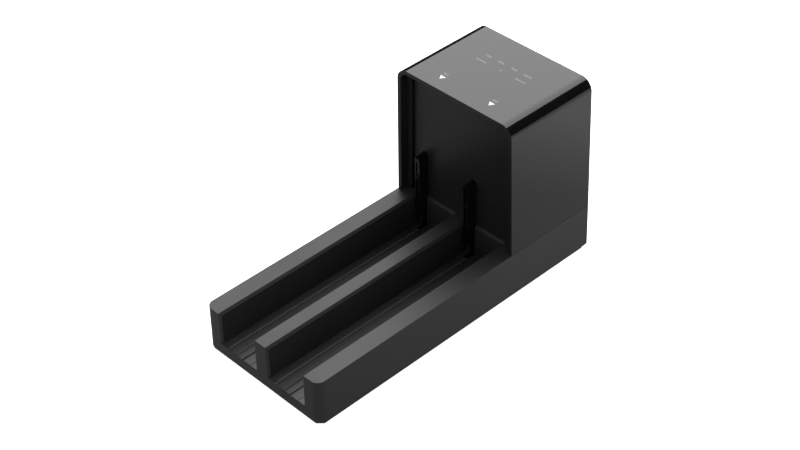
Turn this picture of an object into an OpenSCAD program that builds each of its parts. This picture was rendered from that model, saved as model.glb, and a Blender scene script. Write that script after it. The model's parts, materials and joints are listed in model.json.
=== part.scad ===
// Two-bay drive duplicator: a long tray with two open channels that take bare
// drives on edge, and a tower at the rear that holds the sockets and the boards.
// The tray's length runs along Y with its open end at -Y, and +Z is up.
// The origin is under the middle of the object, on the surface it stands on.

/* [Overall] */
// Length of the base, from its open front to its rear
base_l = 217.4; // [205:0.2:250]
// Height of the base, from its lower edge to the wall tops
base_h = 28.9; // [27:0.1:34]
// Draft of the base's sides and front, in degrees
base_draft = 0.9; // [0:0.1:1.5]
// Height of the tower above the base
tower_h = 88.2; // [80:0.2:110]
// Length of the tower's hood
tower_l = 66.6; // [60:0.2:80]
// Draft of the hood's sides, in degrees
tower_draft = 1.3; // [0:0.1:2]
// Height that the rubber feet add below the base
foot_h = 1.5; // [1:0.1:3]

/* [Drive bays] */
// Width of each bay
bay_w = 28.6; // [27:0.1:32]
// Width of the divider between the bays
divider_w = 11.3; // [9.5:0.1:14]
// Width of the walls outside the bays, at their lower edge
side_w = 12.95; // [11:0.05:16]
// Height of the bay floors above the base's lower edge
floor_h = 7; // [6.4:0.1:8.4]
// Bevel along the inner edges of the bay walls
edge_bevel = 1.4; // [0.5:0.1:2]
// Radius of the base's front corners, at their lower edge
front_r = 5.6; // [2:0.1:7]
// Width of the rail on each bay floor, in line with the receptacle
rail_w = 3.15; // [2.6:0.05:3.6]
// Height of that rail above the floor
rail_h = 0.45; // [0.2:0.05:0.8]
// Distance from a bay's left wall to the step in its floor
step_x = 12.5; // [9:0.1:15]
// Drop of the floor at the step
step_d = 0.2; // [0.1:0.05:0.5]
// Distance from a bay's left wall to the floor groove
groove_x = 17.2; // [16:0.1:20]
// Width of the floor groove
groove_w = 1.3; // [0.5:0.1:2]
// Depth of the floor groove
groove_d = 0.7; // [0.3:0.1:1]
// Distance from a bay's right wall to the fine line in its floor
line_in = 4.3; // [2:0.1:5]

/* [Shells] */
// Wall thickness of the base and the hood
shell_t = 2.6; // [2:0.1:3]
// Thickness of the bay floors
floor_t = 2.2; // [1.8:0.1:2.4]
// Radius of the hood's upper corners
hood_r = 7.8; // [5:0.1:10]
// Distance from the hood's front rim back to the front panel
panel_recess = 6.8; // [6:0.1:9]
// Thickness of the front and rear panels
panel_t = 2.2; // [1.8:0.1:2.6]
// Width of the raised border along the front panel's sides and top
border_w = 3.7; // [2.8:0.1:4.2]
// How far that border stands in front of the panel
border_out = 1.9; // [1:0.1:2.4]
// Distance from the rear rims in to the rear panel
rear_inset = 2.5; // [2.3:0.1:4]
// Height of the sill below the rear panel
sill_h = 4.5; // [3.5:0.1:5]
// Width of the ledges inside the hood that hold the panels
ledge_w = 1.8; // [1.2:0.1:2.2]
// Thickness of those ledges
ledge_t = 1.4; // [1:0.1:1.6]
// Thickness of the ribs inside the base walls
rib_t = 1.2; // [0.8:0.1:2]
// Height and depth of the shadow line where the hood meets the base
reveal = 0.3; // [0.1:0.05:0.6]

/* [Bottom cover and feet] */
// Thickness of the bottom cover
cover_t = 2; // [1.8:0.1:2.4]
// Radius of the rubber feet
foot_r = 5; // [4:0.5:6]
// Distance from the base's sides to the centres of the feet
foot_edge = 13; // [11:0.5:16]
// Depth of the seats that hold the feet
foot_seat = 0.5; // [0.3:0.1:0.8]
// Width of the vent slots in the bottom cover
vent_w = 2; // [1.5:0.1:2.4]
// Length of those vent slots
vent_l = 18; // [12:1:20]
// Distance from one vent slot to the next
vent_pitch = 5; // [4:0.5:5.5]

/* [Drive receptacles] */
// Length of a receptacle, along the drive's edge
plug_l = 42.3; // [41.5:0.1:46]
// Thickness of a receptacle
plug_t = 3.7; // [3.5:0.1:4.3]
// Distance from a bay's left wall to the middle of a receptacle
plug_x = 4.15; // [3.6:0.05:4.8]
// Height of a receptacle above the bay floor
plug_rise = 10; // [8.5:0.1:11.5]
// How far a receptacle's posts reach in front of the front panel
plug_out = 7.2; // [6:0.1:8.3]
// How far the posts reach past the receptacle's face
post_out = 0.5; // [0.4:0.1:0.9]
// Length of the upper post, along the receptacle
post_l = 2.3; // [1.8:0.1:2.8]
// Length of the lower post
low_post_l = 4.3; // [3.5:0.1:5]
// Distance from the receptacle's lower end to the power slot
power_in = 5.5; // [4.8:0.1:6.4]
// Length of the signal slot
signal_l = 10.6; // [10.4:0.1:10.8]
// Length of the power slot
power_l = 20.8; // [20.6:0.1:21]
// Wall between the two slots
slot_gap = 2.6; // [2:0.1:3]
// Width of both slots
slot_t = 1.5; // [1.4:0.05:1.7]
// Wall between the slots and the receptacle's sides
slot_wall = 0.7; // [0.5:0.05:0.8]
// Depth of both slots
slot_deep = 6.2; // [5:0.1:6.5]
// Length of the key at the end of each slot
key_l = 1.3; // [1:0.1:1.6]
// Distance from one contact to the next
contact_pitch = 1.27; // [1.2:0.01:1.3]
// Width of a contact
contact_w = 0.6; // [0.4:0.05:0.8]
// Thickness of a contact
contact_t = 0.2; // [0.15:0.05:0.25]

/* [Boards] */
// Thickness of the circuit boards
board_t = 1.6; // [1.2:0.1:1.8]
// Height of the main board's posts above the bottom cover
stand_h = 5; // [4.5:0.1:5.5]
// Gap between the front panel and the receptacle board
board_back = 1.8; // [1.6:0.1:2.2]
// How far the receptacle board reaches above the receptacles
rec_board_over = 1.7; // [1:0.1:4]
// Width of the light board
led_board_w = 50; // [44:1:56]
// Length of the light board
led_board_l = 16; // [14:0.5:18]
// Distance from the hood's underside to the light board
led_drop = 4; // [3.5:0.1:5]

/* [Rear ports] */
// Width of the data port's shell
usb_w = 12; // [11.8:0.1:12.6]
// Height of the data port's shell
usb_h = 11; // [10.8:0.1:11.4]
// Length of the data port's shell
usb_l = 17; // [14:0.5:18]
// Width of the power jack
jack_w = 9; // [8.8:0.1:10]
// Height of the power jack
jack_h = 11; // [10.6:0.1:12]
// Length of the power jack
jack_l = 14; // [13:0.5:15]
// Radius of the power jack's opening
jack_r = 3.15; // [3:0.05:3.3]
// Radius of the power jack's centre pin
jack_pin_r = 1; // [0.8:0.05:1.25]
// Depth of the power jack's opening
jack_deep = 9.5; // [9:0.5:11]
// Swing of the power switch from one side to the other, in degrees
rocker_swing = 14; // [10:1:16]
// Radius of the power switch's rocker about its pivot
rocker_r = 6.2; // [5.8:0.1:6.4]
// Width of the power switch's rocker
rocker_w = 6.6; // [6:0.1:7]
// Radius of the copy button
button_r = 3; // [2.6:0.1:3.2]
// How far the copy button stands out of the rear panel
button_out = 1.9; // [1.6:0.1:2.2]
// Travel of the copy button
button_travel = 1.2; // [0.8:0.1:1.3]

/* [Hidden] */
$fn = 48;

// Overrun of every cut past the face it leaves
over = 0.6;
// Gap round a piece that drops into another
fit = 0.15;
// Radial gap of a pin or plunger that turns or slides
run_gap = 0.06;
// Gap round a port in its cut-out
port_gap = 0.25;

// Levels above the surface that the object stands on
base_z = foot_h;
floor_z = base_z + floor_h;
wall_z = base_z + base_h;
top_z = wall_z + tower_h;
cover_z = base_z + cover_t;

// How much smaller the bevels of a bay's mouth are than those of its rims
mouth_less = 0.15;

// Places along the length
end_land = 0.6;
front_y = -base_l / 2;
rear_y = base_l / 2;
hood_y = rear_y - tower_l;
panel_y = hood_y + panel_recess;
end_y = panel_y - edge_bevel;
room_y = panel_y + panel_t + end_land;
rear_panel_y = rear_y - rear_inset - panel_t;
rec_board_y = panel_y + panel_t + board_back;

// Places across the width
wall_x = divider_w / 2 + bay_w;
half_w = wall_x + side_w;
base_w = 2 * half_w;
lean = base_h * tan(base_draft);
top_x = half_w - lean;
bay_x = (divider_w + bay_w) / 2;
core_x = wall_x + side_w / 2;
core_w = side_w - 2 * shell_t;
rib_share = [0.135, 0.43, 0.73];

// The floor of a bay: its lower level, the rail's edge, the step and the fine line
floor_low = floor_z - step_d;
floor_under = floor_low - floor_t;
rail_edge = 0.2;
rail_shift = 0.275;
step_run = 0.9;
line_w = 0.4;
line_d = 0.2;

// The front panel's groove inside its border
border_gap = 1.2;
border_gap_d = 1.1;

// Screws that join the shells
boss_r = 3.2;
boss_x = half_w - shell_t - boss_r * 0.8;
boss_in = 9;
boss_gap = 2;
boss_y = [room_y + boss_in, rear_panel_y - ledge_t - boss_r - boss_gap];
post_h = 24;
screw_r = 1.4;
screw_gap = 0.1;
screw_head_r = 2.6;
screw_head_h = 1.6;
hood_seat = 6;
hood_screw_l = 16;
cover_screw_l = 9;
cover_screw_share = [0.19, 0.58, 0.96];
cover_screw_y = [for (share = cover_screw_share) front_y + share * (room_y - front_y)];
cover_head_r = 2.2;
cover_head_h = 1.1;

// The main board and the posts below it
board_gap = 0.4;
main_z = cover_z + stand_h;
main_top = main_z + board_t;
main_x = boss_x - boss_r - board_gap;
main_y = [rec_board_y + board_t + board_gap, rear_panel_y - board_gap];
stand_r = 3;
stand_in = 4;
small_screw_r = 1.1;
small_head_r = 2;
small_head_h = 1.2;
small_screw_l = 5.5;

// The receptacles and their slots in the shells
plug_z = floor_z + plug_rise;
plug_face_y = panel_y - plug_out + post_out;
slot_left = slot_wall - plug_t / 2;
key_out = plug_t - 2 * slot_wall - slot_t;
plug_gap = 0.25;
plug_top_gap = 1.2;
slot_window = plug_t / 2 + plug_gap;
rail_gap = 0.2;
floor_slot_w = rail_w + 2 * rail_gap;
floor_slot_out = 1.1;
floor_slot_y = plug_face_y - floor_slot_out;
holder_in = 1.5;
holder_drop = 1.2;

// The receptacle board, which stands behind the front panel
rec_board_z = main_z;
rec_board_x = main_x;
rec_board_h = plug_z + plug_l + rec_board_over - rec_board_z;
rec_stand_z_share = [0.55, 0.92];
rec_stand_x_share = 0.5;
rec_stand_r = 2.4;
rec_screw_l = 4;

// The sockets that join the boards
socket_w = 13;
socket_l = 4.2;
socket_h = 3.4;

// What stands on the main board, in rows behind the link socket
part_gap = 1.2;
row_y = main_y[0] + socket_l + part_gap;
chip_w = 7.2;
chip_t = 1.2;
chip_x_share = 0.33;
memory_w = 6;
memory_t = 1;
can_r = 3.15;
can_h = 7.6;
can_rim = 0.4;
can_x_share = 0.72;
coil_w = 7;
coil_h = 3.5;
coil_r = 2.3;
coil_dip = 0.5;
crystal_w = 4.4;
crystal_h = 3.5;

// The ports, from the left to the right
port_x_share = [-0.62, -0.22, 0.2, 0.6];
switch_x = half_w * port_x_share[0];
jack_x = half_w * port_x_share[1];
usb_x = half_w * port_x_share[2];
button_x = half_w * port_x_share[3];
port_out = 0.2;
port_y = rear_panel_y + panel_t + port_out;
usb_wall = 0.4;
usb_mouth_w = 8.4;
usb_mouth_h = 5.6;
usb_mouth_rise = 1.4;
usb_crown_w = 5.6;
usb_crown_h = 3;
usb_deep = 9;
usb_tongue_w = 5.6;
usb_tongue_h = 2.8;
usb_contact_w = 1;
usb_contact_pitch = 1.9;
jack_pin_l = 8.6;

// The power switch
bezel_t = 0.6;
bezel_edge = 1.1;
switch_wall = 1.1;
pivot_in = 2;
rocker_dip = 1.5;
rocker_back = 2.4;
rocker_gap = 0.3;
rocker_room = 1;
pivot_r = 1;
pivot_l = 0.7;
switch_half = rocker_r + rocker_gap;
switch_z = main_top + switch_half + switch_wall + bezel_edge;
switch_face_y = rear_panel_y + panel_t + bezel_t;
pivot_y = switch_face_y - pivot_in;
switch_deep = pivot_in + rocker_back + rocker_r * sin(rocker_swing) + rocker_room;
terminal_w = 2.4;
terminal_t = 0.6;
terminal_out = 3;

// The copy button and the key switch behind it
key_axis_h = 6;
button_z = main_top + key_axis_h;
button_gap = 0.25;
flange_out = 1;
flange_t = 1.2;
flange_gap = 0.3;
stem_r = 1.5;
key_w = 6.4;
key_l_y = 5;
key_rise = 3.2;
key_plunger_r = 1.7;
key_plunger_out = 2;
key_in = 7;
key_face_y = rear_panel_y - key_in;
cap_skirt = 0.4;

// The light board and what it carries
led_board_share = 0.383;
led_board_y = rear_y - tower_l * led_board_share;
led_board_t = 1.2;
led_z = top_z - shell_t - led_drop - led_board_t;
led_post_r = 2;
led_post_in = 3;
led_w = 2.2;
led_h = 1;
led_pitch = 10;
led_row_gap = 6.25;
guide_r = 1.2;
ribbon_w = 10;
ribbon_t = 0.6;
ribbon_x_share = -0.2;
ribbon_x = half_w * ribbon_x_share;

// Draws a section of x and z along the length, from y0 and as long as l
module along_y(y0, l) {
    translate([0, y0 + l, 0])
        rotate([90, 0, 0])
            linear_extrude(l)
                children();
}

// Draws a section of y and z across the width, from x0 and as wide as w
module along_x(x0, w) {
    translate([x0, 0, 0])
        rotate([90, 0, 90])
            linear_extrude(w)
                children();
}

// Bar with its lower corner at p
module bar(p, size) {
    translate(p)
        cube(size);
}

// Upright round bar
module post(x, y, z, r, h) {
    translate([x, y, z])
        cylinder(r = r, h = h);
}

// Round bar along Y, starting at y
module rod_y(x, y, z, r, l) {
    translate([x, y + l, z])
        rotate([90, 0, 0])
            cylinder(r = r, h = l);
}

// The outline of the base seen from above, smaller all round by inset
module base_plan(inset, r) {
    w = base_w - 2 * inset;
    l = base_l - 2 * inset;
    union() {
        translate([-w / 2, -l / 2 + r])
            square([w, l - r]);
        translate([-w / 2 + r, -l / 2])
            square([w - 2 * r, 2 * r]);
        for (side = [-1, 1])
            translate([side * (w / 2 - r), -l / 2 + r])
                circle(r);
    }
}

// How far the base's sides lean in at the height z
function lean_at(z) = (z - base_z) * tan(base_draft);

// The base as a full block: its sides and front lean in, its front corners are cones
module base_block() {
    corner_x = half_w - front_r;
    corner_y = front_y + front_r;
    difference() {
        intersection() {
            along_y(front_y, base_l)
                polygon([[-half_w, base_z], [half_w, base_z], [top_x, wall_z], [-top_x, wall_z]]);
            along_x(-half_w, base_w)
                polygon([[front_y, base_z], [rear_y, base_z], [rear_y, wall_z],
                    [front_y + lean, wall_z]]);
        }
        for (x = [-half_w - over, corner_x])
            bar([x, front_y - over, base_z - over], [front_r + over, front_r + over, base_h + 2 * over]);
    }
    for (side = [-1, 1])
        translate([side * corner_x, corner_y, base_z])
            cylinder(r1 = front_r, r2 = front_r - lean, h = base_h);
}

// The hood's outer section, smaller by inset, with its feet lower by drop
module hood_section(inset, drop) {
    foot_x = top_x - inset / cos(tower_draft) + drop * tan(tower_draft);
    top = top_z - inset;
    r = max(hood_r - inset, shell_t / 4);
    mid_z = top - r;
    mid_x = top_x - inset / cos(tower_draft)
        - (r + (mid_z - wall_z) * sin(tower_draft)) / cos(tower_draft);
    side_x = mid_x + r * cos(tower_draft);
    side_z = mid_z + r * sin(tower_draft);
    union() {
        polygon([[-foot_x, wall_z - drop], [foot_x, wall_z - drop], [side_x, side_z],
            [mid_x, top], [-mid_x, top], [-side_x, side_z]]);
        for (side = [-1, 1])
            translate([side * mid_x, mid_z])
                circle(r);
    }
}

// Section of one bay: a floor with its rail, step, groove and fine line, and bevelled rims
module bay_section() {
    left = -bay_w / 2;
    rail_left = left + plug_x + rail_shift - rail_w / 2;
    rail_right = rail_left + rail_w;
    line_x = -left - line_in;
    polygon([[left, floor_z], [rail_left, floor_z], [rail_left, floor_z + rail_h],
        [rail_right - rail_edge, floor_z + rail_h], [rail_right, floor_z + rail_h - rail_edge],
        [rail_right, floor_z], [left + step_x, floor_z], [left + step_x + step_run, floor_low],
        [left + groove_x, floor_low], [left + groove_x, floor_low - groove_d],
        [left + groove_x + groove_w, floor_low - groove_d], [left + groove_x + groove_w, floor_low],
        [line_x - line_w, floor_low], [line_x - line_w, floor_low - line_d],
        [line_x, floor_low - line_d], [line_x, floor_low], [-left, floor_low],
        [-left, wall_z - edge_bevel], [-left + edge_bevel, wall_z],
        [-left + edge_bevel, wall_z + over], [left - edge_bevel, wall_z + over],
        [left - edge_bevel, wall_z], [left, wall_z - edge_bevel]]);
}

// Bevels on the upright front edges of one bay's mouth, which lean with the front
module mouth_bevel() {
    bevel = edge_bevel - mouth_less;
    reach = bay_w / 2 + bevel + over;
    intersection() {
        translate([0, front_y, base_z])
            rotate([-base_draft, 0, 0])
                linear_extrude(2 * base_h)
                    polygon([[-reach, -over], [reach, -over], [bay_w / 2, bevel],
                        [-bay_w / 2, bevel]]);
        bar([-reach, front_y - over, floor_z], [2 * reach, base_l / 2, base_h]);
    }
}

// Bevel on the upper edge of a bay's end wall, mitred into the bevels beside it
module end_bevel() {
    low = wall_z - edge_bevel;
    high = wall_z + over;
    side_x = bay_w / 2 + edge_bevel;
    intersection() {
        along_y(end_y - over, edge_bevel + over)
            polygon([[-bay_w / 2, low], [bay_w / 2, low], [side_x, wall_z], [side_x, high],
                [-side_x, high], [-side_x, wall_z]]);
        along_x(-side_x - over, 2 * (side_x + over))
            polygon([[end_y - over, low], [end_y, low], [panel_y, wall_z], [panel_y, high],
                [end_y - over, high]]);
    }
}

// Section of the space between the outer walls, from z0 up to z1, smaller by gap
module room_section(z0, z1, gap) {
    x0 = half_w - shell_t - gap - lean_at(z0);
    x1 = half_w - shell_t - gap - lean_at(z1);
    polygon([[-x0, z0], [x0, z0], [x1, z1], [-x1, z1]]);
}

// Section of the hollow under the base walls and the bay floors, out to the sides
module core_section() {
    low = base_z - 2 * over;
    side_l = side_w - shell_t;
    translate([-half_w, low])
        square([base_w, floor_under - low]);
    for (x = [-half_w, wall_x + shell_t])
        translate([x, low])
            square([side_l, wall_z - shell_t - low]);
    translate([-divider_w / 2 + shell_t, low])
        square([divider_w - 2 * shell_t, wall_z - shell_t - low]);
}

// The hollow inside the base's leaning walls: the core, and the tower's open room
module tray_hollow() {
    intersection() {
        along_y(front_y + shell_t, base_l)
            room_section(base_z - over, wall_z + over, 0);
        union() {
            along_y(front_y, room_y - front_y + over)
                core_section();
            bar([-half_w, room_y, base_z - 2 * over], [base_w, base_l, base_h + 4 * over]);
        }
    }
}

// Everything that is cut from the base block
module tray_cuts() {
    for (side = [-1, 1]) {
        along_y(front_y - over, end_y - front_y + over)
            translate([side * bay_x, 0])
                bay_section();
        translate([side * bay_x, 0, 0]) {
            mouth_bevel();
            end_bevel();
        }
    }
    tray_hollow();
}

// The slots that a receptacle and its holder come through, in the end wall and the floor
module end_slot(side) {
    bar([plug_mid(side) - slot_window, end_y - over, floor_under - over],
        [2 * slot_window, room_y - end_y + 2 * over, base_h + floor_t]);
    bar([rail_mid(side) - floor_slot_w / 2, floor_slot_y, floor_under - over],
        [floor_slot_w, room_y - floor_slot_y + over, floor_z - floor_under + rail_h + 2 * over]);
}

// Middle of a receptacle, across the width
function plug_mid(side) = side * bay_x - bay_w / 2 + plug_x;

// Middle of the rail in a bay's floor
function rail_mid(side) = plug_mid(side) + rail_shift;

module base_tray() {
    color("#2b2b2b")
        difference() {
            union() {
                difference() {
                    base_block();
                    tray_cuts();
                }
                tray_ribs();
                tray_bosses();
                bar([-half_w + shell_t / 2, rear_y - shell_t, base_z],
                    [base_w - shell_t, shell_t, sill_h]);
            }
            for (side = [-1, 1])
                end_slot(side);
            tray_screw_holes();
        }
}

// Ribs that stiffen the hollow side walls
module tray_ribs() {
    for (side = [-1, 1])
        for (share = rib_share)
            bar([side * core_x - core_w / 2 - over, front_y + share * (room_y - front_y), cover_z],
                [core_w + 2 * over, rib_t, wall_z - cover_z - shell_t / 2]);
}

module tray_bosses() {
    for (side = [-1, 1]) {
        for (y = cover_screw_y)
            post(side * core_x, y, cover_z, core_w / 2 + over / 2,
                wall_z - cover_z - shell_t / 2);
        for (y = boss_y)
            post(side * boss_x, y, cover_z, boss_r, wall_z - cover_z);
    }
}

module tray_screw_holes() {
    for (side = [-1, 1]) {
        for (y = cover_screw_y)
            post(side * core_x, y, cover_z - over, screw_r + screw_gap, cover_screw_l + over);
        for (y = boss_y) {
            post(side * boss_x, y, cover_z - over, screw_head_r + screw_gap,
                wall_z - hood_seat - cover_z + over);
            post(side * boss_x, y, cover_z, screw_r + screw_gap, base_h);
        }
    }
}

module bottom_cover() {
    color("#262626")
        difference() {
            union() {
                translate([0, 0, base_z])
                    linear_extrude(cover_t)
                        base_plan(shell_t + fit, front_r / 2);
                for (p = stand_places())
                    post(p[0], p[1], cover_z - cover_t / 2, stand_r, stand_h + cover_t / 2);
            }
            for (p = stand_places())
                post(p[0], p[1], base_z + cover_t / 2, small_screw_r + screw_gap,
                    stand_h + cover_t);
            for (p = foot_places())
                post(p[0], p[1], base_z - over, foot_r + fit, foot_seat + over);
            for (side = [-1, 1])
                for (y = cover_screw_y) {
                    post(side * core_x, y, base_z - over, screw_r + screw_gap, cover_t + 2 * over);
                    post(side * core_x, y, base_z - over, cover_head_r + screw_gap,
                        cover_head_h + over);
                }
            cover_vents();
        }
}

// Two rows of slots under the main board, in front of the rear feet
module cover_vents() {
    mid_y = (main_y[0] + rear_y - foot_edge - foot_r) / 2;
    for (side = [-1, 1])
        for (i = [-2:2])
            bar([side * main_x / 2 - vent_l / 2, mid_y + i * vent_pitch - vent_w / 2, base_z - over],
                [vent_l, vent_w, cover_t + 2 * over]);
}

// Corners of the main board where posts carry it
function stand_places() = [for (x = [-main_x + stand_in, main_x - stand_in])
    for (y = [main_y[0] + stand_in, main_y[1] - 5 * stand_in]) [x, y]];

function foot_places() = [for (x = [-half_w + foot_edge, half_w - foot_edge])
    for (y = [front_y + foot_edge, rear_y - foot_edge]) [x, y]];

module hood() {
    color("#333333")
        difference() {
            union() {
                difference() {
                    along_y(hood_y, tower_l)
                        hood_section(0, 0);
                    along_y(hood_y - over, tower_l + 2 * over)
                        hood_section(shell_t, over);
                    hood_reveal();
                }
                hood_ledge(panel_y + panel_t);
                hood_ledge(rear_panel_y - ledge_t);
                for (side = [-1, 1])
                    for (y = boss_y)
                        post(side * boss_x, y, wall_z, boss_r, post_h);
                for (p = led_posts())
                    post(p[0], p[1], led_z + led_board_t, led_post_r, led_drop + shell_t / 2);
            }
            for (side = [-1, 1])
                for (y = boss_y)
                    post(side * boss_x, y, wall_z - over, screw_r + screw_gap,
                        hood_screw_l - hood_seat + 2 * over);
            for (p = led_posts())
                post(p[0], p[1], led_z, small_screw_r + screw_gap, led_drop + led_board_t - over);
        }
}

// The shadow line along the hood's lower edges
module hood_reveal() {
    w = reveal + over;
    along_y(hood_y - over, tower_l + 2 * over)
        for (x = [-top_x - over, top_x - reveal])
            translate([x, wall_z - over])
                square([w, w]);
}

// Rim inside the hood that a panel rests against
module hood_ledge(y) {
    difference() {
        along_y(y, ledge_t)
            hood_section(shell_t / 2, 0);
        along_y(y - over, ledge_t + 2 * over)
            hood_section(shell_t + ledge_w, over);
    }
}

function led_posts() = [for (x = [-1, 1])
    for (y = [-1, 1])
        [x * (led_board_w / 2 - led_post_in), led_board_y + y * (led_board_l / 2 - led_post_in)]];

// Posts on the panel's back that carry the receptacle board
function rec_posts() = [for (side = [-1, 1])
    for (share = rec_stand_z_share)
        [side * rec_board_x * rec_stand_x_share, rec_board_z + rec_board_h * share]];

module front_panel() {
    color("#1c1c1c")
        difference() {
            union() {
                panel_border();
                along_y(panel_y, panel_t)
                    hood_section(shell_t + fit + border_w + border_gap, 0);
                for (p = rec_posts())
                    rod_y(p[0], panel_y + panel_t / 2, p[1], rec_stand_r, panel_t / 2 + board_back);
            }
            for (side = [-1, 1])
                bar([plug_mid(side) - slot_window, panel_y - over, wall_z - over],
                    [2 * slot_window, panel_t + 2 * over, plug_z + plug_l + plug_top_gap - wall_z + over]);
            for (p = rec_posts())
                rod_y(p[0], panel_y + panel_t / 2, p[1], small_screw_r + screw_gap, panel_t + board_back);
        }
}

// The raised border along the panel's sides and top, and the back plate behind its groove
module panel_border() {
    difference() {
        along_y(panel_y - border_out, border_out + panel_t)
            hood_section(shell_t + fit, 0);
        along_y(panel_y - border_out - over, border_out + border_gap_d + over)
            hood_section(shell_t + fit + border_w, over);
    }
}

module rear_panel() {
    color("#1f1f1f")
        difference() {
            along_y(rear_panel_y, panel_t) {
                hood_section(shell_t + fit, 0);
                room_section(base_z + sill_h + fit, wall_z + fit, fit);
            }
            port_hole(switch_x, switch_z, rocker_w + 2 * rocker_gap + 2 * switch_wall,
                2 * switch_half + 2 * switch_wall);
            port_hole(jack_x, main_top + jack_h / 2, jack_w, jack_h);
            port_hole(usb_x, main_top + usb_h / 2, usb_w, usb_h);
            rod_y(button_x, rear_panel_y - over, button_z, button_r + button_gap,
                panel_t + 2 * over);
        }
}

// Cut-out in the rear panel round a port that is w wide and h high
module port_hole(x, z, w, h) {
    bar([x - w / 2 - port_gap, rear_panel_y - over, z - h / 2 - port_gap],
        [w + 2 * port_gap, panel_t + 2 * over, h + 2 * port_gap]);
}

// Slot with a key at its lower end when key is 0, or at its upper end when it is 1
module keyed_slot(z, l, key) {
    bar([slot_left, plug_face_y - over, z], [slot_t, slot_deep + over, l]);
    bar([slot_left + slot_t - over, plug_face_y - over, z + key * (l - key_l)],
        [key_out + over, slot_deep + over, key_l]);
}

function power_z() = plug_z + power_in;
function signal_z() = power_z() + power_l + slot_gap;

module receptacle(side) {
    color("#141414")
        translate([plug_mid(side), 0, 0])
            difference() {
                union() {
                    bar([-plug_t / 2, plug_face_y, plug_z], [plug_t, rec_board_y - plug_face_y, plug_l]);
                    receptacle_post(plug_z, low_post_l);
                    receptacle_post(plug_z + plug_l - post_l, post_l);
                }
                keyed_slot(power_z(), power_l, 1);
                keyed_slot(signal_z(), signal_l, 0);
            }
}

// Post at an end of a receptacle's face, stepped back along its sides
module receptacle_post(z, l) {
    bar([-plug_t / 2, plug_face_y - post_out / 2, z], [plug_t, post_out, l]);
    bar([-plug_t / 4, plug_face_y - post_out, z], [plug_t / 2, post_out, l]);
}

// Contacts on the left wall of both slots
module contacts(side) {
    color("#c9a227")
        translate([plug_mid(side) + slot_left, 0, 0]) {
            contact_row(power_z() + power_l / 2, 15);
            contact_row(signal_z() + signal_l / 2, 7);
        }
}

module contact_row(mid_z, count) {
    for (i = [0:count - 1])
        bar([0, plug_face_y + contact_w, mid_z + (i - (count - 1) / 2) * contact_pitch - contact_w / 2],
            [contact_t, slot_deep - contact_w, contact_w]);
}

// Holder of a receptacle: a riser behind the end wall's face, and a foot in the floor slot
module plug_support(side) {
    riser_y = end_y + holder_in;
    foot_y = floor_slot_y + fit;
    foot_w = floor_slot_w - 2 * fit;
    color("#111111")
        union() {
            bar([plug_mid(side) - plug_t / 2, riser_y, floor_under],
                [plug_t, rec_board_y - riser_y, plug_z - floor_under]);
            bar([rail_mid(side) - foot_w / 2, foot_y, floor_under],
                [foot_w, rec_board_y - foot_y, floor_z - holder_drop - floor_under]);
        }
}

module receptacle_board() {
    color("#1d3a24")
        difference() {
            bar([-rec_board_x, rec_board_y, rec_board_z], [2 * rec_board_x, board_t, rec_board_h]);
            for (p = rec_posts())
                rod_y(p[0], rec_board_y - over, p[1], small_screw_r + screw_gap, board_t + 2 * over);
        }
}

module receptacle_board_screws() {
    color("silver")
        for (p = rec_posts()) {
            rod_y(p[0], rec_board_y + board_t, p[1], small_head_r, small_head_h);
            rod_y(p[0], rec_board_y + board_t - rec_screw_l + small_head_h, p[1], small_screw_r,
                rec_screw_l - small_head_h / 2);
        }
}

module main_board() {
    color("#1d3a24")
        difference() {
            bar([-main_x, main_y[0], main_z], [2 * main_x, main_y[1] - main_y[0], board_t]);
            for (p = stand_places())
                post(p[0], p[1], main_z - over, small_screw_r + screw_gap, board_t + 2 * over);
        }
}

module main_board_screws() {
    color("silver")
        for (p = stand_places()) {
            post(p[0], p[1], main_top, small_head_r, small_head_h);
            post(p[0], p[1], main_top - small_screw_l, small_screw_r, small_screw_l + small_head_h / 2);
        }
}

// The plug on the receptacle board that meets the socket on the main board
module link_header() {
    color("#101010")
        bar([-socket_w, rec_board_y + board_t, main_top + socket_h],
            [2 * socket_w, socket_l, socket_h]);
}

module link_socket() {
    color("#e8e4d8")
        bar([-socket_w, rec_board_y + board_t + board_gap, main_top],
            [2 * socket_w, socket_l, socket_h]);
}

module bridge_chips() {
    color("#0d0d0d")
        for (side = [-1, 1])
            bar([side * main_x * chip_x_share - chip_w / 2, row_y, main_top], [chip_w, chip_w, chip_t]);
}

module memory_chip() {
    color("#0d0d0d")
        bar([-memory_w / 2, rec_board_y + board_t, rec_board_z + rec_board_h / 2],
            [memory_w, memory_t, memory_w]);
}

module capacitors() {
    color("#8f949b")
        for (side = [-1, 1])
            for (i = [0, 1])
                translate([side * main_x * can_x_share, row_y + can_r + i * (2 * can_r + part_gap),
                    main_top])
                    rotate_extrude()
                        polygon([[0, 0], [can_r, 0], [can_r, can_h - can_rim], [can_r - can_rim, can_h],
                            [0, can_h]]);
}

module inductors() {
    x0 = ribbon_x + socket_w / 2 + part_gap;
    color("#3a3a3a")
        for (i = [0, 1])
            translate([x0 + i * (coil_w + part_gap), row_y + chip_w + part_gap, main_top])
                difference() {
                    cube([coil_w, coil_w, coil_h]);
                    translate([coil_w / 2, coil_w / 2, coil_h - coil_dip])
                        cylinder(r = coil_r, h = coil_dip + over);
                }
}

module crystal() {
    color("silver")
        translate([0, row_y + crystal_w / 2, main_top]) {
            for (side = [-1, 1])
                post(side * crystal_w / 2, 0, 0, crystal_w / 2, crystal_h);
            bar([-crystal_w / 2, -crystal_w / 2, 0], [crystal_w, crystal_w, crystal_h]);
        }
}

module usb_shell() {
    color("silver")
        difference() {
            bar([usb_x - usb_w / 2, port_y - usb_l, main_top], [usb_w, usb_l, usb_h]);
            bar([usb_x - usb_w / 2 + usb_wall, port_y - usb_l - over, main_top + usb_wall],
                [usb_w - 2 * usb_wall, usb_l + 2 * over, usb_h - 2 * usb_wall]);
        }
}

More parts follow.
